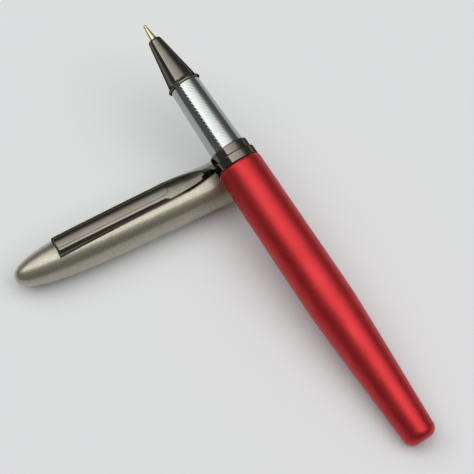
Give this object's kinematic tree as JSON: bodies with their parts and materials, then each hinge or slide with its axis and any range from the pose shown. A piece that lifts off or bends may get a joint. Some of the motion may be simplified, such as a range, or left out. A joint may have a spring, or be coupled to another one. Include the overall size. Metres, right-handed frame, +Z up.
{
  "type": "rollerball pen",
  "caption": "Capped rollerball pen, shown open: the pen leans across its own cap, with a turned metal barrel, an unscrewing engraved grip section, a sprung refill and a cap with a spring clip.",
  "frame": {"origin": "on the table, at the centre of the footprint of the whole group (pen and cap) at rest", "axes": "+X runs along the pen's ground line from its tail towards the writing tip, +Y towards the cap's crown, +Z up from the table"},
  "size_m": [0.1226, 0.066, 0.0256],
  "materials": {
    "champagne_lacquer": "gloss pearl",
    "red_lacquer": "satin metallic",
    "gunmetal": "polished",
    "chrome": "polished, engraved",
    "brass": "machined",
    "tip_brass": "polished",
    "steel": "drawn",
    "ball_steel": "polished",
    "black_plastic": "moulded",
    "white_plastic": "moulded",
    "blue_plastic": "moulded",
    "ink_fibre": "ink-soaked fibre",
    "feed_fibre": "pressed fibre"
  },
  "bodies": {
    "cap": {"cap_shell": "champagne_lacquer", "inner_cap": "black_plastic", "clip_anchor": "brass"},
    "clip_arm": {"clip": "gunmetal"},
    "barrel": {"barrel": "red_lacquer", "thread_bush": "brass", "spring_seat": "black_plastic", "refill_spring": "steel"},
    "collar_ring": {"trim_ring": "gunmetal"},
    "section": {"section_collar": "gunmetal", "section_core": "brass", "grip_sleeve": "chrome", "nose_cone": "gunmetal"},
    "refill": {"refill_tube": "steel", "refill_end_plug": "blue_plastic", "ink_reservoir": "ink_fibre", "ink_feed_rod": "feed_fibre", "tip_holder": "white_plastic", "writing_tip": "tip_brass"},
    "ball": {"writing_ball": "ball_steel"}
  },
  "joints": [
    {"name": "clip_flex", "type": "hinge", "parent": "cap", "child": "clip_arm", "pos_m": [0.02705, 0.02121, 0.01049], "axis": [-0.9826, 0.0998, 0.1564], "range_deg": [0, 1.2], "stiffness_Nm_per_rad": 0.5},
    {"name": "pen_lift", "type": "slide", "parent": "cap", "child": "barrel", "axis": [0, 0, 1], "range_m": [0, 0.06]},
    {"name": "section_advance", "type": "slide", "parent": "barrel", "child": "collar_ring", "axis": [0.9863, 0, 0.165], "range_m": [0, 0.0096]},
    {"name": "section_turn", "type": "hinge", "parent": "collar_ring", "child": "section", "pos_m": [0.01969, -0.02697, 0.0173], "axis": [0.9863, 0, 0.165], "range_deg": [0, 2880]},
    {"name": "refill_press", "type": "slide", "parent": "section", "child": "refill", "axis": [0.9863, 0, 0.165], "range_m": [-0.0008, 0], "stiffness_N_per_m": 300, "springref_m": 0.002, "deforming": ["refill_spring"]},
    {"name": "ball_roll", "type": "hinge", "parent": "refill", "child": "ball", "pos_m": [0.06096, -0.02697, 0.0242], "axis": [0, 1, 0], "continuous": true}
  ],
  "couplings": [
    {"joint": "section_advance", "follows": "section_turn", "m_per_rad": 0.00019099}
  ]
}
